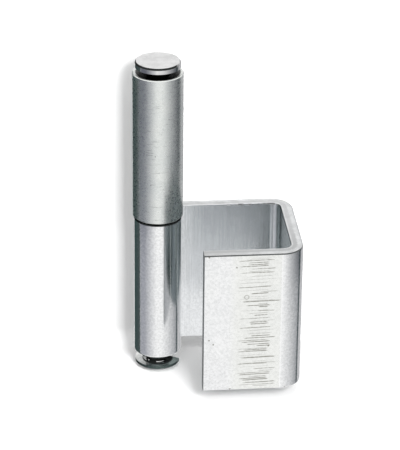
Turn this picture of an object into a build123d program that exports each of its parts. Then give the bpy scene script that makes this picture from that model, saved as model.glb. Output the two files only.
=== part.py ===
from build123d import *
from math import asin, cos, degrees, radians, sin
import os

# Concealed hinge: a folded bracket with a rolled eye, a weld-on sleeve, a headed pin and its clip.
# +Z runs up the hinge axis from the sleeve's lower end, +X runs along the bracket's rear wall,
# and the front flange faces -Y. Sizes are in millimetres and angles in degrees.

# Pin
pin_diameter = 6.0
pin_clearance = 0.05  # radial, in the sleeve and in the eye
head_diameter = 11.5
head_height = 1.85
head_top_radius = 0.7
head_seat_chamfer = 0.15
groove_diameter = 5.0
groove_play = 0.03  # on each side of the clip
pin_end_land = 1.1  # from the groove to the pin's end
pin_end_chamfer = 0.5

# Sleeve
sleeve_diameter = 12.8
sleeve_length = 39.0
sleeve_edge_chamfer = 0.2
sleeve_bore_chamfer = 0.4

# Bracket, one strip of sheet
sheet_thickness = 3.0
bracket_height = 38.2
bracket_reach = 34.9  # from the hinge axis to the side wall's outer face
channel_depth = 26.3  # clear, between the rear wall and the front flange
flange_length = 25.2  # from the flange's free edge to the side wall's outer face
bend_radius = 2.5  # inside
rear_wall_setback = 2.3  # from the eye's bore to the plane of the rear wall's front face
eye_entry_angle = 45.0  # turn of the strip where it leaves the rear wall for the eye
eye_seam_gap = 0.5  # from the rolled end to the rear wall
sheared_edge_radius = 0.5  # on the side that the shear came from

# Retaining clip
clip_diameter = 11.6
clip_thickness = 0.7
clip_bite_clearance = 0.02  # radial, from the prongs to the groove's floor
clip_recess_radius = 3.8
clip_leg_overlap = 1.4  # how far the legs reach past the pin's centre
middle_prong_half_angle = 16.0
side_prong_angle = 12.0  # how far the side prongs reach towards the middle one
clip_corner_radius = 0.25
clip_turn = -30.0  # about the pin, with the mouth to the rear and right

# Gaps along the hinge axis
bearing_gap = 0.4  # from the eye to the sleeve
head_gap = 1.3  # from the sleeve to the pin's head
clip_gap = 2.6  # from the eye to the clip

# Sizes that follow
pin_radius = pin_diameter / 2
bore_radius = pin_radius + pin_clearance
groove_radius = groove_diameter / 2
groove_width = clip_thickness + 2 * groove_play
bracket_top = -bearing_gap
bracket_floor = bracket_top - bracket_height
groove_top = bracket_floor - clip_gap + groove_play
groove_floor = groove_top - groove_width
pin_end = groove_floor - pin_end_land
head_seat = sleeve_length + head_gap
head_top = head_seat + head_height

# Bracket: one strip, drawn by its two faces from the flange's free edge round to the rolled end
rear_face = bore_radius + rear_wall_setback
flange_face = rear_face - channel_depth
side_face = bracket_reach - sheet_thickness
flange_edge = bracket_reach - flange_length
entry_cos = cos(radians(eye_entry_angle))
entry_sin = sin(radians(eye_entry_angle))
entry_length = (rear_wall_setback + (bore_radius - bend_radius) * (1 - entry_cos)) / entry_sin
entry_start = entry_length * entry_cos + (bend_radius - bore_radius) * entry_sin
eye_end_angle = degrees(asin((rear_face - eye_seam_gap) / (bore_radius + sheet_thickness)))
eye_wrap = 270 - eye_entry_angle + eye_end_angle


def strip_face(depth):
    """Draw the strip's face at this depth below its inner face, and return the points where it ends."""
    channel = FilletPolyline(
        (flange_edge, flange_face - depth),
        (side_face + depth, flange_face - depth),
        (side_face + depth, rear_face + depth),
        (entry_start, rear_face + depth),
        radius=bend_radius + depth,
    )
    entry_bend = JernArc(channel @ 1, channel % 1, bend_radius + depth, eye_entry_angle)
    entry_run = PolarLine(entry_bend @ 1, entry_length, direction=entry_bend % 1)
    eye = JernArc(entry_run @ 1, entry_run % 1, bore_radius + depth, eye_wrap)
    return channel @ 0, eye @ 1


with BuildLine() as inner_line:
    inner_ends = strip_face(0)
with BuildLine() as outer_line:
    outer_ends = strip_face(sheet_thickness)


def on_outer_face(edge):
    """Tell whether an edge along the strip lies on its outer face."""
    spot = (edge @ 0.5).project_to_plane(Plane.XY)
    return outer_line.line.distance_to(spot) < sheet_thickness / 4


with BuildPart() as bracket:
    with BuildSketch(Plane.XY.offset(bracket_floor)):
        with BuildLine():
            add(inner_line)
            add(outer_line)
            for inner_end, outer_end in zip(inner_ends, outer_ends):
                Line(inner_end, outer_end)
        make_face()
    extrude(amount=bracket_height)
    sheared_edges = bracket.faces().filter_by(Axis.Z).edges()
    fillet(sheared_edges.filter_by(on_outer_face), radius=sheared_edge_radius)
bracket.part.label = "bracket"

# Sleeve: a turned tube that is welded to the frame
with BuildPart() as sleeve:
    with BuildSketch() as tube_section:
        Circle(sleeve_diameter / 2)
        Circle(bore_radius, mode=Mode.SUBTRACT)
    extrude(amount=sleeve_length)
    tube_edges = sleeve.edges().filter_by(GeomType.CIRCLE).group_by(SortBy.RADIUS)
    chamfer(tube_edges[-1], length=sleeve_edge_chamfer)
    chamfer(tube_edges[0], length=sleeve_bore_chamfer)
sleeve.part.label = "sleeve"

# Pin: half of its section, turned about the hinge axis
with BuildPart() as pin:
    with BuildSketch(Plane.XZ) as half_section:
        with BuildLine():
            Polyline(
                (0, pin_end),
                (pin_radius - pin_end_chamfer, pin_end),
                (pin_radius, pin_end + pin_end_chamfer),
                (pin_radius, groove_floor),
                (groove_radius, groove_floor),
                (groove_radius, groove_top),
                (pin_radius, groove_top),
                (pin_radius, head_seat),
                (head_diameter / 2, head_seat),
                (head_diameter / 2, head_top),
                (0, head_top),
                close=True,
            )
        make_face()
        rim = half_section.vertices().group_by(Axis.X)[-1].sort_by(Axis.Y)
        chamfer(rim[0], length=head_seat_chamfer)
        fillet(rim[-1], radius=head_top_radius)
    revolve(axis=Axis.Z)
pin.part.label = "pin"

# Retaining clip: a disc opened to the rear, with three prongs that reach into the pin's groove
clip_plane = Plane.XY.offset(groove_floor + groove_play).rotated((0, 0, clip_turn))
prong_radius = groove_radius + clip_bite_clearance
recess_span = 90 - middle_prong_half_angle - side_prong_angle
recess_starts = (-90 + middle_prong_half_angle, 180 + side_prong_angle)

with BuildPart() as clip:
    with BuildSketch(clip_plane) as clip_outline:
        Circle(clip_diameter / 2)
        with Locations((0, clip_leg_overlap)):
            Rectangle(
                clip_diameter,
                clip_diameter,
                align=(Align.CENTER, Align.MIN),
                mode=Mode.SUBTRACT,
            )
        Circle(prong_radius, mode=Mode.SUBTRACT)
        for recess_start in recess_starts:
            with BuildLine():
                recess_arc = CenterArc((0, 0), clip_recess_radius, recess_start, recess_span)
                Line((0, 0), recess_arc @ 0)
                Line(recess_arc @ 1, (0, 0))
            make_face(mode=Mode.SUBTRACT)
        fillet(clip_outline.vertices(), radius=clip_corner_radius)
    extrude(amount=clip_thickness)
clip.part.label = "retaining_clip"

os.makedirs("parts", exist_ok=True)
for piece in (bracket, sleeve, pin, clip):
    export_step(piece.part, f"parts/{piece.part.label}.step")
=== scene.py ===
"""Concealed hinge: the looks of the folded bracket, the weld-on sleeve, the headed pin and its clip."""

from math import atan2, cos, pi, radians, sin
from typing import NamedTuple

import bmesh
import bpy
from bmesh.types import BMEdge, BMFace, BMVert
from bpy.props import FloatProperty, FloatVectorProperty, IntProperty, PointerProperty
from bpy.types import NodeSocket
from mathutils import Matrix, Vector


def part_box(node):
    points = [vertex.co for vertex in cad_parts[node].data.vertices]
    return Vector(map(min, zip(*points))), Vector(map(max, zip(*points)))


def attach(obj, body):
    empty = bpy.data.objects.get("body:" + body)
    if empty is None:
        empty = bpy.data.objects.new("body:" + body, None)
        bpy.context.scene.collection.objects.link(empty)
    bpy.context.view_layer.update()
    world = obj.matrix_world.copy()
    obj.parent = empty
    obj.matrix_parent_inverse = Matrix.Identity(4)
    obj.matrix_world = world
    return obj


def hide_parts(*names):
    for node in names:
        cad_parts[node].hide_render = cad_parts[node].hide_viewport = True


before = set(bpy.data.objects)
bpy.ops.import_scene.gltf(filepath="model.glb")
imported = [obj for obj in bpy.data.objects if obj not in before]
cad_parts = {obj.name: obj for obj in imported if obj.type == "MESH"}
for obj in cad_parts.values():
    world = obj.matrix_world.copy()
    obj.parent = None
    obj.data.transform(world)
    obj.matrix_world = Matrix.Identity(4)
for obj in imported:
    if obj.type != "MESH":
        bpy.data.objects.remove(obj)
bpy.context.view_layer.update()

bl_info = {
    "name": "Concealed Hinge",
    "version": (1, 0, 0),
    "blender": (4, 5, 0),
    "location": "View3D > Sidebar > Hinge",
    "description": "Builds a weld-on concealed hinge over its CAD frame, with its finishes and a small stage",
    "category": "Object",
}

# The CAD frame, in metres
BRACKET_LOW, BRACKET_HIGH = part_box("bracket")
SLEEVE_LOW, SLEEVE_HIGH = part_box("sleeve")
PIN_LOW, PIN_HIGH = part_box("pin")
CLIP_LOW, CLIP_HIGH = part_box("retaining_clip")
EYE_RADIUS = -BRACKET_LOW.x
FLANGE_FACE = BRACKET_LOW.y
UP = Vector((0, 0, 1))
AXIS_POINT = Vector((0, 0, 0))

# Marks on the flange and the sleeve, in metres
FLANGE_PITS = (
    (0.0111, FLANGE_FACE, -0.0241),
    (0.0122, FLANGE_FACE, -0.0253),
    (0.0261, FLANGE_FACE, -0.0261),
    (0.0165, FLANGE_FACE, BRACKET_LOW.z + 0.0004),
    (0.0305, FLANGE_FACE, BRACKET_LOW.z + 0.0004),
)
RING_MARK = (0.0204, FLANGE_FACE, -0.0122)
RING_RADIUS = 0.00055
FOLD_LINE = 0.0292  # X of the painted highlight line beside the flange's bend
EDGE_LINE = 0.00017  # depth of the painted dark reflection below the flange's upper edge
BREAK_DEPTH = 0.0014  # middle of the dull break, from the sheet's inner face
SCUFF_LEFT, SCUFF_RIGHT = 0.0180, 0.0252  # X where the rubbed lines begin and end
SCUFF_LATE, SCUFF_FAR = 0.006, 0.0032  # how much later a rubbed line may begin and end
SCUFF_TAPER = 0.0008  # how far a rubbed line takes to fade at its ends
SCUFF_RISE = 0.03  # how steeply the rubbed lines rise to the right
SCUFF_WAVE = 0.0004  # how far they waver
SCUFF_ROWS = 1750.0  # rubbed lines in a metre of height
SCUFF_BANDS = (  # upper end, lower end and the strength that it adds
    (-0.0020, -0.0052, 0.85),
    (-0.0090, -0.0157, 1.25),
    (-0.0175, -0.0207, 1.0),
    (-0.0230, -0.0310, 1.0),
    (-0.0325, -0.0370, 1.8),
)
SCUFF_BETWEEN = 0.5  # strength between the bands
SCUFF_BAND_FADE = 0.0006
SLEEVE_MARK = (-0.0025, -0.0059, 0.0196)
DASH_PITCH = 0.00065

# Mesh limits
SAME_POINT = 1e-7  # points closer than this are one
SHARP_ANGLE = radians(40)  # edges that turn by more are drawn sharp
SECTOR_STEP = radians(3)  # turn of one step along the clip's outline
PLATE, SHEARED, INNER, CUT, PAINTED_SHADE = range(5)  # the bracket's finishes, in order; the last is painted shade on the eye's top, in the joint under the sleeve

# Kinds of group sockets
VALUE, VECTOR, COLOUR = "NodeSocketFloat", "NodeSocketVector", "NodeSocketColor"

# Cards about the hinge axis that the metal mirrors, with their tones
CARD_RADIUS = 0.31
CARD_TOP = 0.12
CARD_STEPS = 48
CARD_SEAM = (-0.154, -0.144)  # the eye mirrors the card below this height and the sleeve above it
LILAC = (0.39, 0.40, 0.44)
WHITE = (1.0, 1.0, 1.0)
GREY = (0.36, 0.37, 0.39)
PALE = (0.64, 0.64, 0.65)
DARK = (0.03, 0.05, 0.05)
PAPER_REACH = 2.0  # length of the floor and the backdrop, and half their width
COVE_STEPS = 16


class Card(NamedTuple):
    """A curved card about the hinge axis, from one angle in degrees and one tone to another."""

    name: str
    start: float
    stop: float
    first: tuple
    last: tuple
    upper_gamma: float = 1.0  # deepens the greys that the sleeve mirrors
    low: float = -0.30


CARDS = (
    Card("left_dark_card", 108, 171, (0.03, 0.06, 0.06), (0.07, 0.09, 0.09), low=-0.9),
    Card("left_card", 172, 200, LILAC, LILAC, 1.9),
    Card("left_fading_card", 200, 262, LILAC, WHITE, 2.05),
    Card("right_fading_card", 285, 370, WHITE, GREY, 2.3),
    Card("right_dark_card", 370, 379, DARK, DARK, low=-0.9),
    Card("right_card", 379, 392, GREY, PALE, 1.7),
    Card("far_right_card", 392, 428, PALE, GREY),
)


# Settings


def length(name, description, default):
    """A length in metres."""
    return FloatProperty(
        name=name, description=description, default=default, min=0, precision=5, unit="LENGTH"
    )


def colour(name, description, default):
    """A linear colour."""
    return FloatVectorProperty(
        name=name, description=description, default=default, min=0, max=1, size=3, subtype="COLOR"
    )


def share(name, description, default):
    """A share from 0 to 1."""
    return FloatProperty(name=name, description=description, default=default, min=0, max=1, subtype="FACTOR")


def turn(name, description, default):
    """An angle in radians."""
    return FloatProperty(name=name, description=description, default=default, subtype="ANGLE")


def power(name, description, default):
    """A lamp's power in watts."""
    return FloatProperty(name=name, description=description, default=default, min=0, unit="POWER")


class BracketSettings(bpy.types.PropertyGroup):
    """Sizes and colours of the folded bracket."""

    sheet: length("Sheet", "Thickness of the strip", 0.003)
    bend: length("Bend", "Inside radius of the bends", 0.0025)
    flange: length("Flange", "From the flange's free edge to the side wall's outer face", 0.0252)
    entry_angle: turn("Entry angle", "Turn of the strip as it leaves the rear wall", radians(45))
    seam: length("Seam", "Gap from the rolled end to the rear wall", 0.0005)
    rolled_edge: length("Rolled edge", "Rounding of the sheared edges on the outside", 0.0005)
    burred_edge: length("Burred edge", "Rounding of the sheared edges on the inside", 0.00014)
    plate: colour("Plate", "Bright zinc", (0.93, 0.935, 0.935))
    plate_shade: colour("Plate shade", "Zinc where it has dulled", (0.87, 0.875, 0.885))
    sheared: colour("Sheared", "Zinc over the sheared faces", (0.80, 0.81, 0.815))
    # partly thinner plate, partly painted shade inside the channel
    inner_plate: colour("Inner plate", "Thinner zinc inside the channel", (0.885, 0.90, 0.915))
    # painted shade: the side wall's inside, deep in the channel, darker
    side_wall_painted_shade: colour("Side plate", "Dulled zinc on the side wall's inside", (0.42, 0.48, 0.475))
    cut: colour("Cut", "Bare steel at the strip's cut ends", (0.34, 0.36, 0.36))
    worn: colour("Worn", "Zinc worn over the flange's middle", (0.84, 0.85, 0.79))
    # dark colour for the burred rim with painted shade inside the channel, and for the painted dark
    # reflection below the flange's upper edge
    burr_and_painted_dark: colour("Burr", "Dark burr and grime along the sheared edges", (0.03, 0.033, 0.033))
    scuff: colour("Scuff", "Rubbed lines on the flange", (0.22, 0.215, 0.18))
    plate_roughness: share("Plate roughness", "Roughness of the bright zinc", 0.12)


class SleeveSettings(bpy.types.PropertyGroup):
    """Sizes and colours of the weld-on sleeve."""

    edge: length("Edge", "Chamfer of the tube's outer edges", 0.0002)
    bore_edge: length("Bore edge", "Chamfer of the bore's edges", 0.0004)
    steel: colour("Steel", "Bare drawn steel", (0.81, 0.83, 0.805))
    steel_shade: colour("Steel shade", "Steel between the bright streaks", (0.71, 0.74, 0.73))
    roughness: share("Roughness", "Roughness of the drawn steel", 0.31)


class PinSettings(bpy.types.PropertyGroup):
    """Sizes and colours of the headed pin."""

    shank: length("Shank", "Diameter of the pin", 0.006)
    head_height: length("Head height", "Height of the pin's head", 0.00185)
    head_round: length("Head rounding", "Rounding of the head's upper edge", 0.0007)
    head_seat: length("Head seat edge", "Chamfer of the head's lower edge", 0.00015)
    groove: length("Groove", "Diameter at the floor of the clip's groove", 0.005)
    groove_play: length("Groove play", "Room in the groove on each side of the clip", 0.00003)
    end_chamfer: length("End chamfer", "Chamfer of the pin's lower end", 0.0005)
    clearance: length("Clearance", "Radial room between the pin and its bores", 0.00005)
    plate: colour("Plate", "Bright zinc on the head", (0.77, 0.77, 0.77))
    # painted shade: how far it shows on the shank below the eye, and its dark colour, used in the gaps
    # between the parts and for the dark line under the head's rim
    painted_shade_zone: length("Painted_shade_zone", "How far the grease shows on the shank below the eye", 0.0004)
    painted_shade: colour("Painted_shade", "Dark film on the shank and under the head", (0.02, 0.022, 0.022))


class ClipSettings(bpy.types.PropertyGroup):
    """Sizes and colours of the retaining clip."""

    recess: length("Recess", "Radius of the two recesses between the prongs", 0.0038)
    bite: length("Bite", "Radial room from the prongs to the groove's floor", 0.00002)
    leg: length("Leg", "How far the legs reach past the pin's centre", 0.0014)
    middle_prong: turn("Middle prong", "Half of the middle prong's angle", radians(16))
    side_prong: turn("Side prongs", "How far the side prongs reach towards the middle one", radians(12))
    corner: length("Corner", "Rounding of the clip's corners", 0.00025)
    turned: turn("Turned", "Turn of the clip about the pin", radians(-30))
    steel: colour("Steel", "Plated spring steel", (0.78, 0.79, 0.78))
    # painted shade over the clip's right side
    painted_shade_film: colour("Film", "Dark film over one side of the clip", (0.24, 0.29, 0.28))
    edge: colour("Edge", "Stamped edge", (0.09, 0.12, 0.115))


class StageSettings(bpy.types.PropertyGroup):
    """The camera, the paper, the lamps and the overhead card."""

    azimuth: turn("Azimuth", "Camera's turn from straight in front", radians(-5.429))
    elevation: turn("Elevation", "Camera's height above the horizon", radians(25.887))
    roll: turn("Roll", "Camera's roll", radians(0.584))
    distance: length("Distance", "From the camera to the point it aims at", 0.5999)
    lens: FloatProperty(
        name="Lens", description="Focal length in millimetres", default=189.73, min=1, unit="CAMERA"
    )
    aim: FloatVectorProperty(
        name="Aim", description="Point at the picture's centre", default=(0.01035, -0.00507, -0.00105),
        size=3, precision=5, unit="LENGTH",
    )
    floor_gap: length("Floor gap", "From the pin's end to the floor", 0.0002)
    backdrop_gap: length("Backdrop gap", "From the rear wall to the backdrop", 0.004)
    cove: length("Cove", "Radius of the curve from the backdrop to the floor", 0.0045)
    key_power: power("Key", "Power of the soft key lamp", 3.6)
    key_turn: turn("Key turn", "Turn of the key lamp to the right of straight in front", radians(14))
    key_height: turn("Key height", "Height of the key lamp above the horizon", radians(32))
    key_size: length("Key size", "Side of the soft key lamp", 0.16)
    top_power: power("Top", "Power of the soft top lamp", 1.5)
    top_turn: turn("Top turn", "Turn of the top lamp to the right of straight in front", radians(-5))
    top_height: turn("Top height", "Height of the top lamp above the horizon", radians(56))
    top_size: length("Top size", "Side of the soft top lamp", 0.3)
    lamp_distance: length("Lamp distance", "From the hinge to each lamp", 0.6)
    fill_level: share("Fill", "World's light on plain surfaces", 0.30)
    overhead_height: length("Overhead height", "Height of the overhead card", 0.45)
    overhead_radius: length("Overhead radius", "Radius of the overhead card", 0.26)
    overhead_level: FloatProperty(
        name="Overhead", description="Brightness of the overhead card", default=1.2, min=0
    )
    paper_glow: share("Paper glow", "White that the floor and backdrop show by themselves", 0.12)


# Mesh helpers


def only(kind, items):
    """Those of a bmesh operator's results that are of one kind."""
    return [item for item in items if isinstance(item, kind)]


def round_off(bm, geom, radius, segments, affect):
    """Round corners or edges off, or chamfer them with one segment."""
    bmesh.ops.bevel(
        bm, geom=geom, offset=radius, offset_type="OFFSET", segments=segments, profile=0.5, affect=affect,
        material=-1, clamp_overlap=affect == "EDGES",
    )


def swing(bm, geom, angle, steps, centre=AXIS_POINT, axis=UP):
    """Spin part of a mesh about a line, and return what lies at the far end."""
    return bmesh.ops.spin(
        bm, geom=geom, cent=centre, axis=axis, angle=angle, steps=steps, use_merge=False
    )["geom_last"]


def corner_face(bm, width, height, left, right):
    """Make an upright rectangle in X and Z from the origin, with its left and right corners rounded off."""
    bmesh.ops.create_grid(bm, x_segments=1, y_segments=1, size=0.5)
    stand = Matrix.Rotation(pi / 2, 4, "X")
    place = Matrix.Translation((width / 2, 0, height / 2)) @ stand @ Matrix.Diagonal((width, height, 1, 1))
    bmesh.ops.transform(bm, matrix=place, verts=bm.verts)
    left_corners = [vert for vert in bm.verts if vert.co.x < width / 2]
    right_corners = [vert for vert in bm.verts if vert.co.x > width / 2]
    round_off(bm, left_corners, *left, "VERTICES")
    round_off(bm, right_corners, *right, "VERTICES")


def lathe(bm, steps):
    """Turn the outline in the bmesh about the hinge axis into a closed body."""
    bmesh.ops.delete(bm, geom=bm.faces[:], context="FACES_ONLY")
    on_axis = [edge for edge in bm.edges if all(vert.co.x < SAME_POINT for vert in edge.verts)]
    bmesh.ops.delete(bm, geom=on_axis, context="EDGES")
    bmesh.ops.spin(
        bm, geom=bm.verts[:] + bm.edges[:], cent=AXIS_POINT, axis=UP, angle=2 * pi, steps=steps,
        use_merge=True,
    )
    bmesh.ops.remove_doubles(bm, verts=bm.verts, dist=SAME_POINT)
    bmesh.ops.recalc_face_normals(bm, faces=bm.faces)


def place_mesh(bm, name, materials):
    """Turn a bmesh into an object at the origin, with its materials."""
    mesh = bpy.data.meshes.new(name)
    bm.to_mesh(mesh)
    bm.free()
    for material in materials:
        mesh.materials.append(material)
    made = bpy.data.objects.new(name, mesh)
    bpy.context.scene.collection.objects.link(made)
    return made


def make_piece(bm, name, materials):
    """Turn a closed bmesh into a smooth object with its materials."""
    if not bm.faces or not all(edge.is_manifold for edge in bm.edges):
        raise RuntimeError(f"{name} isn't a closed body")
    for face in bm.faces:
        face.smooth = True
    for edge in bm.edges:
        edge.smooth = edge.calc_face_angle() < SHARP_ANGLE
    piece = place_mesh(bm, name, materials)
    even = piece.modifiers.new("Even shading", "WEIGHTED_NORMAL")
    even.keep_sharp = True
    return piece


def outward(side, height):
    """The direction away from the hinge, by its turn to the right of the front and its height."""
    level = cos(height)
    return Vector((sin(side) * level, -cos(side) * level, sin(height)))


# Node helpers


def add_node(tree, kind, inputs=None, **settings):
    """Add a node with its settings, and link or set its inputs."""
    node = tree.nodes.new(kind)
    for field, value in settings.items():
        setattr(node, field, value)
    for name, value in (inputs or {}).items():
        if isinstance(value, NodeSocket):
            tree.links.new(value, node.inputs[name])
        else:
            node.inputs[name].default_value = value
    return node


def combine(tree, operation, first, second=0.0, third=0.0, clamp=False):
    """Work out one value from others."""
    inputs = {0: first, 1: second, 2: third}
    node = add_node(tree, "ShaderNodeMath", inputs, operation=operation, use_clamp=clamp)
    return node.outputs[0]


def multiply(tree, product, *others):
    """Multiply values with each other."""
    for other in others:
        product = combine(tree, "MULTIPLY", product, other)
    return product


def total(tree, start, *terms):
    """Add values to a start, each times its weight."""
    for value, weight in terms:
        start = combine(tree, "MULTIPLY_ADD", value, weight, start)
    return start


def spread(tree, value, low, high, out_low=0.0, out_high=1.0):
    """Map a value's stretch from low to high onto another, smoothly and within its ends."""
    node = add_node(
        tree, "ShaderNodeMapRange",
        {"Value": value, "From Min": low, "From Max": high, "To Min": out_low, "To Max": out_high},
        interpolation_type="SMOOTHSTEP",
    )
    return node.outputs["Result"]


def fade(tree, value, full, gone):
    """1 up to one value, and 0 from another on."""
    return spread(tree, value, full, gone, 1.0, 0.0)


def band(tree, value, middle, full, gone):
    """1 where a value is within full of a middle one, and 0 where it is further than gone from it."""
    apart = combine(tree, "ABSOLUTE", combine(tree, "SUBTRACT", value, middle))
    return fade(tree, apart, full, gone)


def rgba(tone):
    """A colour with its alpha, or a colour's socket as it is."""
    return tone if isinstance(tone, NodeSocket) else (*tone, 1)


def shaded(tone, factor):
    """A colour made darker or lighter."""
    return [factor * part for part in tone]


def blend(tree, mask, first, second, strength=1.0):
    """Mix two colours by a mask and its strength."""
    if strength != 1.0:
        mask = multiply(tree, mask, strength)
    node = add_node(tree, "ShaderNodeMix", {0: mask, 6: rgba(first), 7: rgba(second)}, data_type="RGBA")
    return node.outputs[2]


def split(tree, place):
    """A place's X, Y and Z."""
    parts = add_node(tree, "ShaderNodeSeparateXYZ", {"Vector": place})
    return parts.outputs["X"], parts.outputs["Y"], parts.outputs["Z"]


def span(tree, vector):
    """A vector's length."""
    return add_node(tree, "ShaderNodeVectorMath", {0: vector}, operation="LENGTH").outputs["Value"]


def from_spot(tree, place, spot):
    """How far a place lies from a spot."""
    return add_node(tree, "ShaderNodeVectorMath", {0: place, 1: spot}, operation="DISTANCE").outputs["Value"]


def from_axis(tree, place, shift=(0.0, 0.0, 0.0)):
    """How far a place lies from the hinge axis once it is shifted."""
    level = add_node(
        tree, "ShaderNodeMapping", {"Vector": place, "Location": shift, "Scale": (1.0, 1.0, 0.0)}
    )
    return span(tree, level.outputs["Vector"])


def noise(tree, vector, scale, detail=2.0, roughness=0.5):
    """A cloudy pattern, with so many clouds in a metre."""
    node = add_node(
        tree, "ShaderNodeTexNoise",
        {"Vector": vector, "Scale": scale, "Detail": detail, "Roughness": roughness},
    )
    return node.outputs["Fac"]


# Node groups that several metals share


def start_group(name, inputs, outputs):
    """Begin a shader node group, and return its tree, what it is given and what it gives."""
    tree = bpy.data.node_groups.new(name, "ShaderNodeTree")
    for socket, kind in inputs.items():
        tree.interface.new_socket(name=socket, in_out="INPUT", socket_type=kind)
    for socket, kind in outputs.items():
        tree.interface.new_socket(name=socket, in_out="OUTPUT", socket_type=kind)
    given = tree.nodes.new("NodeGroupInput").outputs
    made = tree.nodes.new("NodeGroupOutput").inputs
    return tree, given, made


def place_group(tree, group, inputs):
    """Place a node group in a material, and return its outputs."""
    return add_node(tree, "ShaderNodeGroup", inputs, node_tree=group).outputs


def cloud_group():
    """Soft, cloudy unevenness of a plated or drawn surface, with specks eleven times as fine."""
    name = "Cloudy finish"
    if name in bpy.data.node_groups:
        return bpy.data.node_groups[name]
    tree, given, made = start_group(
        name, {"Vector": VECTOR, "Scale": VALUE}, {"Clouds": VALUE, "Specks": VALUE}
    )
    clouds = noise(tree, given["Vector"], given["Scale"], detail=4.0, roughness=0.6)
    specks = noise(tree, given["Vector"], multiply(tree, given["Scale"], 11.0), roughness=0.7)
    tree.links.new(spread(tree, clouds, 0.35, 0.65), made["Clouds"])
    tree.links.new(spread(tree, specks, 0.35, 0.65), made["Specks"])
    return tree


def grain_group():
    """Grain that is stretched along the axes, as drawing or rolling leaves it."""
    name = "Drawn grain"
    if name in bpy.data.node_groups:
        return bpy.data.node_groups[name]
    tree, given, made = start_group(
        name,
        {"Vector": VECTOR, "Stretch": VECTOR, "Scale": VALUE, "Detail": VALUE, "Roughness": VALUE},
        {"Grain": VALUE},
    )
    drawn = add_node(tree, "ShaderNodeMapping", {"Vector": given["Vector"], "Scale": given["Stretch"]})
    grain = noise(tree, drawn.outputs["Vector"], given["Scale"], given["Detail"], given["Roughness"])
    tree.links.new(grain, made["Grain"])
    return tree


def pit_group():
    """Sparse small pits: a few cells of a fine cell pattern, each with one round pit."""
    name = "Sparse pits"
    if name in bpy.data.node_groups:
        return bpy.data.node_groups[name]
    tree, given, made = start_group(name, {"Vector": VECTOR, "Scale": VALUE, "Share": VALUE}, {"Pits": VALUE})
    cells = add_node(tree, "ShaderNodeTexVoronoi", {"Vector": given["Vector"], "Scale": given["Scale"]})
    inside = fade(tree, cells.outputs["Distance"], 0.10, 0.22)
    chance = add_node(tree, "ShaderNodeSeparateColor", {"Color": cells.outputs["Color"]})
    chosen = combine(tree, "LESS_THAN", chance.outputs["Red"], given["Share"])
    tree.links.new(multiply(tree, inside, chosen), made["Pits"])
    return tree


def painted_shade_group():
    """Painted shade round the hinge axis, full up to one radius and gone from another."""
    name = "Grease round the pin"
    if name in bpy.data.node_groups:
        return bpy.data.node_groups[name]
    tree, given, made = start_group(
        name, {"Vector": VECTOR, "Shift": VECTOR, "Full": VALUE, "Gone": VALUE}, {"Mask": VALUE}
    )
    radius = from_axis(tree, given["Vector"], given["Shift"])
    tree.links.new(fade(tree, radius, given["Full"], given["Gone"]), made["Mask"])
    return tree


def painted_dark_group():
    """Painted dark colour over clean metal, for painted shade and painted dark reflections: the colour that
    shows, and how much of the metal's shine is left.
    """
    name = "Dirt film"
    if name in bpy.data.node_groups:
        return bpy.data.node_groups[name]
    tree, given, made = start_group(
        name, {"Mask": VALUE, "Clean": COLOUR, "Dirt": COLOUR}, {"Color": COLOUR, "Metallic": VALUE}
    )
    tree.links.new(blend(tree, given["Mask"], given["Clean"], given["Dirt"]), made["Color"])
    tree.links.new(combine(tree, "SUBTRACT", 1.0, given["Mask"]), made["Metallic"])
    return tree


def drawn_grain(tree, place, stretch, scale, detail=2.0, roughness=0.5):
    """Stretched grain, with so many grains in a metre before it is stretched."""
    inputs = {"Vector": place, "Stretch": stretch, "Scale": scale, "Detail": detail, "Roughness": roughness}
    return place_group(tree, grain_group(), inputs)["Grain"]


def sparse_pits(tree, place, cells, portion):
    """Pits in a portion of the cells, with so many cells in a metre."""
    return place_group(tree, pit_group(), {"Vector": place, "Scale": cells, "Share": portion})["Pits"]


def pin_painted_shade(tree, place, full, gone, shift=(0.0, 0.0, 0.0)):
    """Painted shade round the pin, once the place is shifted."""
    inputs = {"Vector": place, "Shift": shift, "Full": full, "Gone": gone}
    return place_group(tree, painted_shade_group(), inputs)["Mask"]


# Metals


class Metal(NamedTuple):
    """A metal's material in the making, with its shader, its coordinates and its unevenness."""

    material: bpy.types.Material
    tree: bpy.types.NodeTree
    shader: bpy.types.Node
    place: NodeSocket
    clouds: NodeSocket
    specks: NodeSocket


def start_metal(name, clouds):
    """Begin a metal's material, with so many clouds in a metre."""
    material = bpy.data.materials.new(name)
    material.use_nodes = True
    tree = material.node_tree
    shader = tree.nodes["Principled BSDF"]
    shader.inputs["Metallic"].default_value = 1.0
    place = tree.nodes.new("ShaderNodeTexCoord").outputs["Object"]
    finish = place_group(tree, cloud_group(), {"Vector": place, "Scale": clouds})
    return Metal(material, tree, shader, place, finish["Clouds"], finish["Specks"])


def paint(metal, tone):
    """Feed a colour to the shader."""
    metal.tree.links.new(tone, metal.shader.inputs["Base Color"])


def lay_painted_dark(metal, mask, clean, painted_dark_tone):
    """Lay a painted dark colour over a clean one by a mask, and take the metal's shine away there: painted
    shade and painted dark reflections, with a burred edge on the channel's rim.
    """
    painted_shade_film = place_group(metal.tree, painted_dark_group(), {"Mask": mask, "Clean": clean, "Dirt": rgba(painted_dark_tone)})
    paint(metal, painted_shade_film["Color"])
    metal.tree.links.new(painted_shade_film["Metallic"], metal.shader.inputs["Metallic"])
    metal.shader.inputs["Specular IOR Level"].default_value = 0.0


def roughen(metal, smoothest, *terms):
    """Feed the shader's roughness, from its smoothest value and what adds to it."""
    metal.tree.links.new(total(metal.tree, smoothest, *terms), metal.shader.inputs["Roughness"])


def dent(metal, height, depth, strength=0.5):
    """Feed a height pattern to the shader's normal."""
    bump = add_node(
        metal.tree, "ShaderNodeBump", {"Height": height, "Distance": depth, "Strength": strength}
    )
    metal.tree.links.new(bump.outputs["Normal"], metal.shader.inputs["Normal"])


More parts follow.
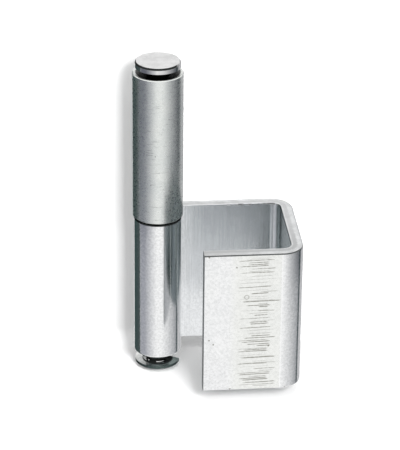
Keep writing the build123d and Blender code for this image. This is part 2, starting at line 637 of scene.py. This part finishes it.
def scuff_lines(tree, place, across, height):
    """Thin lines in bands that rise a little to the right, each with its own strength and its own ends."""
    wavy = drawn_grain(tree, place, (0.15, 0.15, 1.0), 400.0)
    level = total(tree, height, (across, -SCUFF_RISE), (wavy, SCUFF_WAVE))
    inputs = {"W": level, "Scale": SCUFF_ROWS}
    rows = add_node(tree, "ShaderNodeTexVoronoi", inputs, voronoi_dimensions="1D")
    chance = add_node(tree, "ShaderNodeSeparateColor", {"Color": rows.outputs["Color"]})
    late = combine(tree, "POWER", chance.outputs["Green"], 2.0)
    far = combine(tree, "POWER", chance.outputs["Blue"], 3.0)
    gaps = drawn_grain(tree, place, (0.5, 0.5, 1.0), 2600.0)
    lines = multiply(
        tree,
        fade(tree, rows.outputs["Distance"], 0.08, 0.26),
        spread(tree, chance.outputs["Red"], 0.0, 0.8, 0.2, 1.0),
        spread(tree, total(tree, across, (late, -SCUFF_LATE)), SCUFF_LEFT, SCUFF_LEFT + SCUFF_TAPER),
        fade(tree, total(tree, across, (far, -SCUFF_FAR)), SCUFF_RIGHT, SCUFF_RIGHT + SCUFF_TAPER),
        spread(tree, gaps, 0.38, 0.58, 0.55, 1.0),
        spread(tree, across, 0.0185, 0.0235, 0.65, 1.0),
    )
    bands = []
    for upper, lower, strength in SCUFF_BANDS:
        half = (upper - lower) / 2
        inside = band(tree, height, (upper + lower) / 2, half, half + SCUFF_BAND_FADE)
        bands.append((inside, strength))
    return combine(tree, "MULTIPLY", lines, total(tree, SCUFF_BETWEEN, *bands), clamp=True)


def flange_pits(tree, place):
    """Sparse pits, the small ring and the larger pits on the flange."""
    pits = sparse_pits(tree, place, cells=730.0, portion=0.003)
    ring = band(tree, from_spot(tree, place, RING_MARK), RING_RADIUS, 0.00005, 0.00018)
    pits = combine(tree, "MAXIMUM", pits, multiply(tree, ring, 0.6))
    for spot in FLANGE_PITS:
        pit = fade(tree, from_spot(tree, place, spot), 0.00010, 0.00032)
        pits = combine(tree, "MAXIMUM", pits, pit)
    return pits


def zinc_plate(settings):
    """Bright zinc on sheet: cloudy, with upright streaks, rubbed lines over the flange's middle, a painted
    highlight line beside the bend and a painted dark reflection below the flange's upper edge.
    """
    metal = start_metal("zinc_plate", clouds=150.0)
    tree, place, specks = metal.tree, metal.place, metal.specks
    across, depth, height = split(tree, place)
    flange_front = fade(tree, depth, FLANGE_FACE + 0.0001, FLANGE_FACE + 0.0004)
    flange_edge = fade(tree, depth, FLANGE_FACE + 0.0020, FLANGE_FACE + 0.0060)
    at_back = spread(tree, depth, BRACKET_HIGH.y - 0.0006, BRACKET_HIGH.y - 0.0001)
    rubbed = multiply(tree, scuff_lines(tree, place, across, height), flange_front)
    worn_left, worn_right = spread(tree, across, 0.0155, 0.0185), fade(tree, across, 0.0287, 0.0294)
    worn = multiply(tree, worn_left, worn_right, flange_front)
    # painted highlight: a light line where the flange begins to bend
    painted_highlight_line = multiply(tree, band(tree, across, FOLD_LINE, 0.00010, 0.00022), flange_front)
    pits = flange_pits(tree, place)
    # painted dark reflection: a dark line just below the flange's upper edge
    painted_dark_reflection = multiply(tree, band(tree, height, BRACKET_HIGH.z - EDGE_LINE, 0.00016, 0.00022), flange_edge)

    tone = blend(tree, metal.clouds, settings.plate, settings.plate_shade, 0.5)
    tone = blend(tree, specks, tone, settings.cut, 0.2)
    tone = blend(tree, worn, tone, settings.worn, 0.4)
    tone = blend(tree, painted_highlight_line, tone, WHITE, 0.5)
    tone = blend(tree, rubbed, tone, settings.scuff, 0.9)
    tone = blend(tree, pits, tone, settings.scuff, 0.85)
    lay_painted_dark(metal, multiply(tree, painted_dark_reflection, 0.95), tone, settings.burr_and_painted_dark)
    roughen(metal, settings.plate_roughness, (specks, 0.05), (rubbed, 0.3), (at_back, 0.3))
    streaks = drawn_grain(tree, place, (1.0, 1.0, 0.03), 1400.0, roughness=0.6)
    relief = total(tree, 0.0, (streaks, 0.4), (specks, 0.3), (rubbed, -1.0), (pits, -2.0))
    dent(metal, relief, depth=0.000004)
    return metal.material


def sheet_depth(tree, across, depth, settings):
    """How deep a spot of the channel's rim lies in the sheet, from its inner face outwards."""
    inset = settings.sheet + settings.bend
    middle = (BRACKET_LOW.y + BRACKET_HIGH.y) / 2
    half = (BRACKET_HIGH.y - BRACKET_LOW.y) / 2 - inset
    past_side = combine(tree, "MAXIMUM", combine(tree, "SUBTRACT", across, BRACKET_HIGH.x - inset), 0.0)
    off_middle = combine(tree, "ABSOLUTE", combine(tree, "SUBTRACT", depth, middle))
    past_wall = combine(tree, "MAXIMUM", combine(tree, "SUBTRACT", off_middle, half), 0.0)
    corner = add_node(tree, "ShaderNodeCombineXYZ", {"X": past_side, "Y": past_wall}).outputs["Vector"]
    return combine(tree, "SUBTRACT", span(tree, corner), settings.bend)


def sheared_zinc(settings):
    """The strip's cut faces: plated, with a dull break along the inner half of the thickness."""
    metal = start_metal("sheared_zinc", clouds=420.0)
    tree, place = metal.tree, metal.place
    across, depth, _ = split(tree, place)
    shade = shaded(settings.sheared, 0.62)
    spots = multiply(tree, metal.clouds, metal.specks)
    ragged = noise(tree, place, 900.0, detail=3.0, roughness=0.7)
    inwards = total(tree, sheet_depth(tree, across, depth, settings), (ragged, 0.0008))
    to_front = spread(tree, depth, -0.0190, -0.0040, 0.9, 0.5)
    broken = multiply(tree, band(tree, inwards, BREAK_DEPTH, 0.0003, 0.0008), to_front)
    on_flange = fade(tree, depth, FLANGE_FACE + settings.sheet, FLANGE_FACE + 0.0050)
    to_free_end = spread(tree, across, 0.0120, 0.0300, 1.0, 0.2)

    tone = blend(tree, spots, settings.sheared, shade, 0.9)
    tone = blend(tree, broken, tone, shade)
    paint(metal, blend(tree, multiply(tree, on_flange, to_free_end), tone, shade, 0.6))
    roughen(metal, 0.3, (metal.specks, 0.15))
    dent(metal, combine(tree, "ADD", metal.clouds, metal.specks), depth=0.00002)
    return metal.material


def inner_zinc(settings):
    """Thinner zinc inside the channel with painted shade: duller and darker, with upright grain, painted
    shade on the side wall's inside, and a burred edge with painted shade along the upper edge.
    """
    metal = start_metal("inner_zinc", clouds=150.0)
    tree, place, specks = metal.tree, metal.place, metal.specks
    across, _, height = split(tree, place)
    side = BRACKET_HIGH.x - settings.sheet
    on_side = spread(tree, across, side - 0.0012, side - 0.0002)
    grain = drawn_grain(tree, place, (1.0, 1.0, 0.02), 3000.0, detail=3.0, roughness=0.7)
    streaks = total(tree, spread(tree, grain, 0.35, 0.65, 0.0, 0.14), (specks, 0.12))
    at_edge = spread(tree, height, BRACKET_HIGH.z - 0.0006, BRACKET_HIGH.z - 0.0004)
    ragged = spread(tree, noise(tree, place, 700.0, detail=3.0, roughness=0.7), 0.44, 0.54)
    ragged = multiply(tree, ragged, spread(tree, across, 0.0165, 0.0215))
    # a burred edge with painted shade: a dark ragged line along the upper edge, and along the side wall's
    # inside
    burr_and_painted_dark = multiply(tree, at_edge, combine(tree, "MAXIMUM", ragged, on_side), 0.85)

    # thinner plate with painted shade: darker than the outside
    tone = blend(tree, metal.clouds, settings.inner_plate, shaded(settings.inner_plate, 0.9), 0.5)
    tone = blend(tree, streaks, tone, settings.cut)
    # painted shade on the side wall's inside
    tone = blend(tree, on_side, tone, settings.side_wall_painted_shade)
    lay_painted_dark(metal, burr_and_painted_dark, tone, settings.burr_and_painted_dark)
    roughen(metal, 0.18, (specks, 0.08))
    dent(metal, total(tree, grain, (specks, 0.15)), depth=0.00003)
    return metal.material


def cut_steel(settings):
    """The strip's cut ends: darker and uneven."""
    metal = start_metal("cut_steel", clouds=420.0)
    paint(metal, blend(metal.tree, metal.clouds, settings.cut, shaded(settings.cut, 0.6)))
    roughen(metal, 0.35, (metal.specks, 0.15))
    dent(metal, combine(metal.tree, "ADD", metal.clouds, metal.specks), depth=0.00002)
    return metal.material


def satin_steel(settings, painted_shade):
    """Bare drawn steel: satin, with short marks round the tube, a few pits, and painted shade on its ends
    round the bore, under the head and in the joint with the eye.
    """
    metal = start_metal("satin_steel", clouds=190.0)
    tree, place, specks = metal.tree, metal.place, metal.specks
    _, _, height = split(tree, place)
    marks = drawn_grain(tree, place, (0.12, 0.12, 1.0), 3200.0, roughness=0.65)
    pits = sparse_pits(tree, place, cells=900.0, portion=0.02)
    worn = total(tree, multiply(tree, spread(tree, marks, 0.60, 0.74), 0.5), (pits, 0.7))
    dashes = spread(tree, combine(tree, "SINE", multiply(tree, height, 2 * pi / DASH_PITCH)), 0.5, 0.95)
    at_mark = fade(tree, from_spot(tree, place, SLEEVE_MARK), 0.0008, 0.0011)
    worn = combine(tree, "MAXIMUM", worn, multiply(tree, dashes, at_mark, 0.6))
    # painted shade on the tube's ends: under the head and in the joint with the eye
    painted_shade_zone = pin_painted_shade(tree, place, PIN_HIGH.x - 0.0003, PIN_HIGH.x + 0.0001)

    tone = blend(tree, metal.clouds, settings.steel, settings.steel_shade, 0.6)
    tone = blend(tree, worn, tone, shaded(settings.steel_shade, 0.35))
    paint(metal, blend(tree, painted_shade_zone, tone, painted_shade))
    roughen(metal, settings.roughness - 0.05, (specks, 0.1))
    dent(metal, total(tree, marks, (specks, 0.6), (pits, -2.0)), depth=0.00001)
    return metal.material


def turned_zinc(settings):
    """Bright zinc over turned steel: faint rings round the axis, and a painted dark reflection as a line
    below the head's rim that fades out on the right.
    """
    metal = start_metal("turned_zinc", clouds=260.0)
    tree, specks = metal.tree, metal.specks
    across, _, height = split(tree, metal.place)
    radius = from_axis(tree, metal.place)
    rings = add_node(
        tree, "ShaderNodeTexNoise", {"W": radius, "Scale": 5000.0, "Detail": 2.0}, noise_dimensions="1D"
    ).outputs["Fac"]
    # painted dark reflection: a dark line below the head's rim, fading out on the right
    below_rim = band(tree, height, PIN_HIGH.z - settings.head_round * 0.6, 0.00022, 0.00029)
    on_rim = spread(tree, radius, PIN_HIGH.x - settings.head_round, PIN_HIGH.x - 0.0005)
    painted_dark_reflection = multiply(tree, below_rim, on_rim, fade(tree, across, 0.0042, 0.0052))
    tone = blend(tree, metal.clouds, settings.plate, shaded(settings.plate, 0.86))
    lay_painted_dark(metal, painted_dark_reflection, tone, settings.painted_shade)
    roughen(metal, 0.07, (specks, 0.06))
    dent(metal, total(tree, rings, (specks, 0.5)), depth=0.000004)
    return metal.material


def painted_shade_steel(settings):
    """The pin's shank and what bears on it: steel painted dark, as painted shade in the gaps between the
    parts.
    """
    name = "painted_shade_steel"
    if name in bpy.data.materials:
        return bpy.data.materials[name]
    metal = start_metal(name, clouds=380.0)
    paint(metal, blend(metal.tree, metal.clouds, settings.painted_shade, shaded(settings.painted_shade, 2.2)))
    roughen(metal, 0.25, (metal.specks, 0.2))
    # the painted shade darkens the shine too
    metal.shader.inputs["Specular Tint"].default_value = rgba(settings.painted_shade)
    dent(metal, metal.specks, depth=0.00001, strength=0.4)
    return metal.material


def stamped_steel(name, steel, painted_shade_film, painted_shade, inner):
    """Plated spring steel, stamped: fine grain, painted shade over its right side, and painted shade round
    the pin that reaches further out at the front.
    """
    metal = start_metal(name, clouds=500.0)
    tree, clouds = metal.tree, metal.clouds
    across, _, _ = split(tree, metal.place)
    # painted shade: the clip's right side darker
    on_painted_shade_side = spread(tree, total(tree, across, (clouds, 0.001)), -0.0030, -0.0018)
    # painted shade round the pin, reaching further out at the front
    painted_shade_zone = pin_painted_shade(tree, metal.place, inner - 0.0001, inner + 0.0004, shift=(0.0, 0.0009, 0.0))
    tone = blend(tree, clouds, steel, shaded(steel, 0.75))
    lay_painted_dark(metal, painted_shade_zone, blend(tree, on_painted_shade_side, tone, painted_shade_film), painted_shade)
    roughen(metal, 0.18, (metal.specks, 0.12))
    dent(metal, combine(tree, "ADD", clouds, metal.specks), depth=0.000008)
    return metal.material


# Operators


class MakeBracket(bpy.types.Operator):
    """Fold the strip from the flange's free edge round to the rolled eye."""

    bl_idname = "hinge.make_bracket"
    bl_label = "Make Bracket"

    straight_steps: IntProperty(name="Straight steps", description="Steps along a straight run", default=12)
    bend_steps: IntProperty(name="Bend steps", description="Steps in a quarter bend", default=24)
    eye_steps: IntProperty(name="Eye steps", description="Steps round the rolled eye", default=110)

    def execute(self, context):
        sizes = context.scene.hinge_bracket
        bm = bmesh.new()
        self.fold_strip(bm, sizes)
        self.share_finishes(bm, sizes)
        # painted shade for the eye's top, in the joint under the sleeve
        painted_shade = painted_shade_steel(context.scene.hinge_pin)
        finishes = [zinc_plate(sizes), sheared_zinc(sizes), inner_zinc(sizes), cut_steel(sizes), painted_shade]
        bracket = make_piece(bm, "folded_bracket", finishes)
        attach(bracket, "bracket")
        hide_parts("bracket")
        return {"FINISHED"}

    def inner_faces(self, sizes):
        """Where the strip's inner faces lie: the flange's Y, the side wall's X and the rear wall's Y."""
        return FLANGE_FACE + sizes.sheet, BRACKET_HIGH.x - sizes.sheet, BRACKET_HIGH.y - sizes.sheet

    def whole(self, end):
        """The end's faces with their edges and corners."""
        edges = dict.fromkeys(edge for face in end for edge in face.edges)
        corners = dict.fromkeys(vert for face in end for vert in face.verts)
        return [*end, *edges, *corners]

    def run(self, bm, end, heading, distance):
        """Draw the strip straight on, and return its new end."""
        for _ in range(self.straight_steps):
            grown = bmesh.ops.extrude_face_region(bm, geom=self.whole(end))["geom"]
            end = only(BMFace, grown)
            move = Vector(heading) * (distance / self.straight_steps)
            bmesh.ops.translate(bm, vec=move, verts=only(BMVert, grown))
        return end

    def fold(self, bm, end, centre, angle, steps):
        """Turn the strip about an upright line, towards its inner side, and return its new end."""
        return only(BMFace, swing(bm, self.whole(end), angle, steps, centre))

    def fold_strip(self, bm, sizes):
        """Draw the strip's section along its runs and bends, and round its two ends."""
        sheet, bend = sizes.sheet, sizes.bend
        front, side, rear = self.inner_faces(sizes)
        free_edge = BRACKET_HIGH.x - sizes.flange
        bore = EYE_RADIUS - sheet
        turn_cos, turn_sin = cos(sizes.entry_angle), sin(sizes.entry_angle)
        entry_run = (rear - bore + (bore - bend) * (1 - turn_cos)) / turn_sin
        entry_start = entry_run * turn_cos + (bend - bore) * turn_sin
        seam_height = rear - sizes.seam
        seam_angle = atan2(seam_height, (EYE_RADIUS ** 2 - seam_height ** 2) ** 0.5)
        eye_wrap = 1.5 * pi - sizes.entry_angle + seam_angle

        corner_face(
            bm, sheet, BRACKET_HIGH.z - BRACKET_LOW.z,
            left=(sizes.rolled_edge, 6), right=(sizes.burred_edge, 4),
        )
        stand = Matrix.Translation((free_edge, FLANGE_FACE, BRACKET_LOW.z)) @ Matrix.Rotation(pi / 2, 4, "Z")
        bmesh.ops.transform(bm, matrix=stand, verts=bm.verts)
        first_end = bm.faces[:]
        end = self.run(bm, first_end, (1, 0, 0), side - bend - free_edge)
        end = self.fold(bm, end, (side - bend, front + bend, 0), pi / 2, self.bend_steps)
        end = self.run(bm, end, (0, 1, 0), rear - front - 2 * bend)
        end = self.fold(bm, end, (side - bend, rear - bend, 0), pi / 2, self.bend_steps)
        end = self.run(bm, end, (-1, 0, 0), side - bend - entry_start)
        end = self.fold(bm, end, (entry_start, rear - bend, 0), sizes.entry_angle, self.bend_steps // 2)
        end = self.run(bm, end, (-turn_cos, -turn_sin, 0), entry_run)
        end = self.fold(bm, end, AXIS_POINT, eye_wrap, self.eye_steps)

        bmesh.ops.recalc_face_normals(bm, faces=bm.faces)
        ends = [edge for face in first_end + end if face.is_valid for edge in face.edges]
        round_off(bm, ends, sizes.burred_edge, 3, "EDGES")
        bm.normal_update()

    def share_finishes(self, bm, sizes):
        """Give each face of the strip its finish."""
        front, side, rear = self.inner_faces(sizes)
        slack = sizes.sheet / 20
        free_end = BRACKET_HIGH.x - sizes.flange + slack
        rim = BRACKET_HIGH.z - sizes.rolled_edge * 0.7
        for face in bm.faces:
            middle = face.calc_center_median()
            radius = middle.xy.length
            in_channel = front - slack < middle.y < rear + slack and middle.x < side + slack
            # the eye's top, in the joint under the sleeve, takes painted shade
            if middle.z > rim and radius < EYE_RADIUS and face.normal.z > 0.2:
                face.material_index = PAINTED_SHADE
            elif abs(face.normal.z) > 0.9:
                face.material_index = SHEARED
            elif middle.x < free_end and middle.y < front + slack:
                face.material_index = CUT
            elif in_channel and radius > EYE_RADIUS + slack:
                face.material_index = INNER
            else:
                face.material_index = PLATE


class MakeSleeve(bpy.types.Operator):
    """Turn the weld-on sleeve."""

    bl_idname = "hinge.make_sleeve"
    bl_label = "Make Sleeve"

    steps: IntProperty(name="Steps", description="Steps round the axis", default=160)

    def execute(self, context):
        sizes = context.scene.hinge_sleeve
        pin = context.scene.hinge_pin
        bore = pin.shank / 2 + pin.clearance
        bm = bmesh.new()
        corner_face(
            bm, SLEEVE_HIGH.x - bore, SLEEVE_HIGH.z - SLEEVE_LOW.z,
            left=(sizes.bore_edge, 1), right=(sizes.edge, 1),
        )
        bmesh.ops.translate(bm, vec=(bore, 0, SLEEVE_LOW.z), verts=bm.verts)
        lathe(bm, self.steps)
        sleeve = make_piece(bm, "weld_on_sleeve", [satin_steel(sizes, pin.painted_shade)])
        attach(sleeve, "sleeve")
        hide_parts("sleeve")
        return {"FINISHED"}


class MakePin(bpy.types.Operator):
    """Turn the headed pin with its clip groove."""

    bl_idname = "hinge.make_pin"
    bl_label = "Make Pin"

    steps: IntProperty(name="Steps", description="Steps round the axis", default=128)

    def execute(self, context):
        sizes = context.scene.hinge_pin
        radius, groove = sizes.shank / 2, sizes.groove / 2
        head, seat = PIN_HIGH.x, PIN_HIGH.z - sizes.head_height
        groove_low, groove_high = CLIP_LOW.z - sizes.groove_play, CLIP_HIGH.z + sizes.groove_play
        painted_shade_end = BRACKET_LOW.z - sizes.painted_shade_zone
        outline = [
            (0, PIN_LOW.z),
            (radius, PIN_LOW.z),
            (radius, groove_low),
            (groove, groove_low),
            (groove, groove_high),
            (radius, groove_high),
            (radius, painted_shade_end),
            (radius, seat),
            (head, seat),
            (head, PIN_HIGH.z),
            (0, PIN_HIGH.z),
        ]
        bm = bmesh.new()
        corners = [bm.verts.new((across, 0, up)) for across, up in outline]
        bm.faces.new(corners)
        lower_end, head_seat, head_rim = corners[1], corners[8], corners[9]
        round_off(bm, [lower_end], sizes.end_chamfer, 1, "VERTICES")
        round_off(bm, [head_seat], sizes.head_seat, 1, "VERTICES")
        round_off(bm, [head_rim], sizes.head_round, 8, "VERTICES")
        lathe(bm, self.steps)
        # the shank from just below the eye up to the head's seat takes painted shade
        for face in bm.faces:
            painted_shade_zone = painted_shade_end < face.calc_center_median().z < seat + sizes.head_seat / 4
            face.material_index = 1 if painted_shade_zone else 0
        pin = make_piece(bm, "headed_pin", [turned_zinc(sizes), painted_shade_steel(sizes)])
        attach(pin, "pin")
        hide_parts("pin")
        return {"FINISHED"}


class MakeClip(bpy.types.Operator):
    """Stamp the retaining clip with its three prongs."""

    bl_idname = "hinge.make_clip"
    bl_label = "Make Clip"

    def execute(self, context):
        sizes = context.scene.hinge_clip
        painted_shade = context.scene.hinge_pin.painted_shade
        bm = bmesh.new()
        self.lay_outline(bm, sizes, context.scene.hinge_pin.groove / 2 + sizes.bite)
        grown = bmesh.ops.extrude_face_region(bm, geom=bm.faces[:])["geom"]
        bmesh.ops.translate(bm, vec=(0, 0, CLIP_HIGH.z - CLIP_LOW.z), verts=only(BMVert, grown))
        bmesh.ops.recalc_face_normals(bm, faces=bm.faces)
        corners = []
        for edge in bm.edges:
            upright = abs(edge.verts[0].co.z - edge.verts[1].co.z) > 1e-5
            if upright and edge.calc_face_angle() > radians(30):
                corners.append(edge)
        round_off(bm, corners, sizes.corner, 4, "EDGES")
        bmesh.ops.rotate(bm, cent=AXIS_POINT, matrix=Matrix.Rotation(sizes.turned, 3, "Z"), verts=bm.verts)
        bm.normal_update()
        for face in bm.faces:
            face.material_index = 0 if abs(face.normal.z) > 0.5 else 1
        finishes = [
            stamped_steel("stamped_face", sizes.steel, sizes.painted_shade_film, painted_shade, sizes.recess),
            stamped_steel("stamped_edge", sizes.edge, sizes.edge, painted_shade, sizes.recess),
        ]
        clip = make_piece(bm, "retaining_ring", finishes)
        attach(clip, "pin")
        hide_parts("retaining_clip")
        return {"FINISHED"}

    def sector(self, bm, inside, outside, start, stop):
        """Sweep a radial line into a flat sector."""
        heading = Vector((cos(start), sin(start), 0))
        line = [bm.verts.new(heading * radius + UP * CLIP_LOW.z) for radius in (inside, outside)]
        steps = max(4, round((stop - start) / SECTOR_STEP))
        swing(bm, [*line, bm.edges.new(line)], stop - start, steps)

    def lay_outline(self, bm, sizes, prong):
        """Lay the clip flat: a ring with three prongs, cut straight across its legs."""
        outer = -CLIP_LOW.y
        past_legs = radians(35)  # beyond the straight cut
        left_leg, right_leg = pi - past_legs, 2 * pi + past_legs
        left_recess, right_recess = pi + sizes.side_prong, 2 * pi - sizes.side_prong
        left_middle, right_middle = 1.5 * pi - sizes.middle_prong, 1.5 * pi + sizes.middle_prong
        stops = (left_leg, left_recess, left_middle, right_middle, right_recess, right_leg)
        for start, stop in zip(stops, stops[1:]):
            self.sector(bm, sizes.recess, outer, start, stop)
        for start, stop in zip(stops[::2], stops[1::2]):
            self.sector(bm, prong, sizes.recess, start, stop)
        bmesh.ops.remove_doubles(bm, verts=bm.verts, dist=1e-6)
        bmesh.ops.bisect_plane(
            bm, geom=bm.verts[:] + bm.edges[:] + bm.faces[:], dist=SAME_POINT, plane_co=(0, sizes.leg, 0),
            plane_no=(0, 1, 0), clear_outer=True,
        )
        bmesh.ops.recalc_face_normals(bm, faces=bm.faces)


class SetStage(bpy.types.Operator):
    """Set the camera, the world, the floor and backdrop, the cards and the lamps."""

    bl_idname = "hinge.set_stage"
    bl_label = "Set Stage"

    def execute(self, context):
        scene = context.scene
        sizes = scene.hinge_stage
        scene.view_settings.view_transform = "Standard"
        self.set_camera(scene, sizes)
        self.set_world(scene, sizes)
        sweep = self.paper_sweep(sizes)
        sweep.visible_glossy = False
        sweep.visible_diffuse = False
        for card in CARDS:
            self.stand_card(card)
        self.hang_overhead(sizes)
        for name, side, height, watts, size in (
            ("soft_key", sizes.key_turn, sizes.key_height, sizes.key_power, sizes.key_size),
            ("soft_top", sizes.top_turn, sizes.top_height, sizes.top_power, sizes.top_size),
        ):
            self.hang_lamp(scene, name, watts, size, outward(side, height) * sizes.lamp_distance)
        return {"FINISHED"}

    def set_camera(self, scene, sizes):
        """Stand the camera at the photo's viewing angle."""
        lens = bpy.data.cameras.new("photo_camera")
        lens.lens = sizes.lens
        lens.clip_start = 0.01
        lens.clip_end = 10
        camera = bpy.data.objects.new("photo_camera", lens)
        back = outward(sizes.azimuth, sizes.elevation)
        right = Vector((cos(sizes.azimuth), sin(sizes.azimuth), 0))
        right = Matrix.Rotation(sizes.roll, 3, back) @ right
        turned = Matrix((right, back.cross(right), back)).transposed().to_4x4()
        camera.matrix_world = Matrix.Translation(Vector(sizes.aim) + back * sizes.distance) @ turned
        scene.collection.objects.link(camera)
        scene.camera = camera

    def hang_lamp(self, scene, name, watts, size, place):
        """Hang a soft lamp that faces the hinge and that reflections don't show."""
        light = bpy.data.lights.new(name, "AREA")
        light.energy = watts
        light.size = size
        lamp = bpy.data.objects.new(name, light)
        lamp.matrix_world = Matrix.Translation(place) @ place.to_track_quat("Z", "Y").to_matrix().to_4x4()
        lamp.visible_glossy = False
        scene.collection.objects.link(lamp)

    def seen(self, tree):
        """1 for rays that show the background: straight, mirrored or through glass."""
        path = tree.nodes.new("ShaderNodeLightPath")
        rays = combine(tree, "ADD", path.outputs["Is Camera Ray"], path.outputs["Is Glossy Ray"])
        return combine(tree, "ADD", rays, path.outputs["Is Transmission Ray"], clamp=True)

    def set_world(self, scene, sizes):
        """Make the world white where it is seen, and a soft fill elsewhere."""
        world = bpy.data.worlds.new("white_studio")
        scene.world = world
        world.use_nodes = True
        tree = world.node_tree
        background = tree.nodes["Background"]
        background.inputs["Color"].default_value = rgba(WHITE)
        level = spread(tree, self.seen(tree), 0.0, 1.0, sizes.fill_level, 1.0)
        tree.links.new(level, background.inputs["Strength"])

    def bare_material(self, name):
        """Begin a material without nodes."""
        material = bpy.data.materials.new(name)
        material.use_nodes = True
        material.node_tree.nodes.clear()
        return material

    def paper(self, sizes):
        """White paper that glows a little where it is seen, and that is clear from behind."""
        material = self.bare_material("white_paper")
        tree = material.node_tree
        sheet = add_node(tree, "ShaderNodeBsdfDiffuse", {"Color": (0.9, 0.9, 0.9, 1)})
        glow_level = multiply(tree, self.seen(tree), sizes.paper_glow)
        glow = add_node(tree, "ShaderNodeEmission", {"Color": rgba(WHITE), "Strength": glow_level})
        lit = add_node(tree, "ShaderNodeAddShader", {0: sheet.outputs[0], 1: glow.outputs[0]})
        behind = add_node(tree, "ShaderNodeNewGeometry").outputs["Backfacing"]
        clear = add_node(tree, "ShaderNodeBsdfTransparent")
        either = add_node(tree, "ShaderNodeMixShader", {0: behind, 1: lit.outputs[0], 2: clear.outputs[0]})
        add_node(tree, "ShaderNodeOutputMaterial", {"Surface": either.outputs[0]})
        return material

    def pull(self, bm, edge, move):
        """Draw a sheet on from an edge, and return its new edge."""
        grown = bmesh.ops.extrude_edge_only(bm, edges=[edge])["geom"]
        bmesh.ops.translate(bm, vec=move, verts=only(BMVert, grown))
        return only(BMEdge, grown)[0]

    def paper_sweep(self, sizes):
        """Lay one sheet of paper that stands behind the hinge and curves into the floor."""
        wall = BRACKET_HIGH.y + sizes.backdrop_gap
        floor = PIN_LOW.z - sizes.floor_gap
        bm = bmesh.new()
        ends = [bm.verts.new((across, wall, PAPER_REACH)) for across in (-PAPER_REACH, PAPER_REACH)]
        edge = self.pull(bm, bm.edges.new(ends), (0, 0, floor + sizes.cove - PAPER_REACH))
        centre = (0, wall - sizes.cove, floor + sizes.cove)
        bent = swing(bm, [edge, *edge.verts], -pi / 2, COVE_STEPS, centre, axis=(1, 0, 0))
        self.pull(bm, only(BMEdge, bent)[0], (0, -PAPER_REACH, 0))
        bm.normal_update()
        bmesh.ops.reverse_faces(bm, faces=[face for face in bm.faces if face.normal.z < face.normal.y])
        for face in bm.faces:
            face.smooth = True
        return place_mesh(bm, "paper_sweep", [self.paper(sizes)])

    def only_reflected(self, bm, name):
        """Turn a bmesh into a glowing card that only reflections show, and return its tree and its glow."""
        material = self.bare_material(name)
        tree = material.node_tree
        glow = add_node(tree, "ShaderNodeEmission", {"Color": rgba(WHITE)})
        add_node(tree, "ShaderNodeOutputMaterial", {"Surface": glow.outputs[0]})
        made = place_mesh(bm, name, [material])
        made.visible_camera = False
        made.visible_diffuse = False
        made.visible_shadow = False
        return tree, glow

    def stand_card(self, card):
        """Stand a curved card about the hinge axis, fading from its first tone to its last."""
        start = radians(card.start)
        half = radians(card.stop - card.start) / 2
        bm = bmesh.new()
        foot = Vector((CARD_RADIUS * cos(start), CARD_RADIUS * sin(start), 0))
        posts = [bm.verts.new(foot + UP * height) for height in (card.low, CARD_TOP)]
        swing(bm, [*posts, bm.edges.new(posts)], 2 * half, CARD_STEPS)
        tree, glow = self.only_reflected(bm, card.name)
        place = tree.nodes.new("ShaderNodeTexCoord").outputs["Object"]
        turned = add_node(tree, "ShaderNodeMapping", {"Vector": place, "Rotation": (0, 0, -start - half)})
        across, depth, height = split(tree, turned.outputs["Vector"])
        angle = combine(tree, "ARCTAN2", depth, across)
        along = add_node(tree, "ShaderNodeMapRange", {"Value": angle, "From Min": -half, "From Max": half})
        tone = blend(tree, along.outputs["Result"], card.first, card.last)
        gamma = spread(tree, height, *CARD_SEAM, 1.0, card.upper_gamma)
        deeper = add_node(tree, "ShaderNodeGamma", {"Color": tone, "Gamma": gamma})
        tree.links.new(deeper.outputs["Color"], glow.inputs["Color"])

    def hang_overhead(self, sizes):
        """Hang a bright round card overhead."""
        bm = bmesh.new()
        bmesh.ops.create_circle(
            bm, cap_ends=True, radius=sizes.overhead_radius, segments=CARD_STEPS,
            matrix=Matrix.Translation((0, 0, sizes.overhead_height)),
        )
        _, glow = self.only_reflected(bm, "overhead_card")
        glow.inputs["Strength"].default_value = sizes.overhead_level


class HingePanel(bpy.types.Panel):
    """Buttons that make the hinge's pieces and its stage."""

    bl_idname = "HINGE_PT_pieces"
    bl_label = "Concealed Hinge"
    bl_space_type = "VIEW_3D"
    bl_region_type = "UI"
    bl_category = "Hinge"

    def draw(self, context):
        for operator in OPERATORS:
            self.layout.operator(operator.bl_idname)


OPERATORS = (MakeBracket, MakeSleeve, MakePin, MakeClip, SetStage)
SETTINGS = {
    "hinge_bracket": BracketSettings,
    "hinge_sleeve": SleeveSettings,
    "hinge_pin": PinSettings,
    "hinge_clip": ClipSettings,
    "hinge_stage": StageSettings,
}


def register():
    """Register the classes and give the scene its settings."""
    for group in (*SETTINGS.values(), *OPERATORS, HingePanel):
        bpy.utils.register_class(group)
    for name, group in SETTINGS.items():
        setattr(bpy.types.Scene, name, PointerProperty(type=group))


def unregister():
    """Take the settings and the classes away again."""
    for name in SETTINGS:
        delattr(bpy.types.Scene, name)
    for group in (HingePanel, *OPERATORS, *SETTINGS.values()):
        bpy.utils.unregister_class(group)


def main():
    """Make the hinge and its stage."""
    register()
    bpy.ops.hinge.make_bracket()
    bpy.ops.hinge.make_sleeve()
    bpy.ops.hinge.make_pin()
    bpy.ops.hinge.make_clip()
    bpy.ops.hinge.set_stage()


if __name__ == "__main__":
    main()
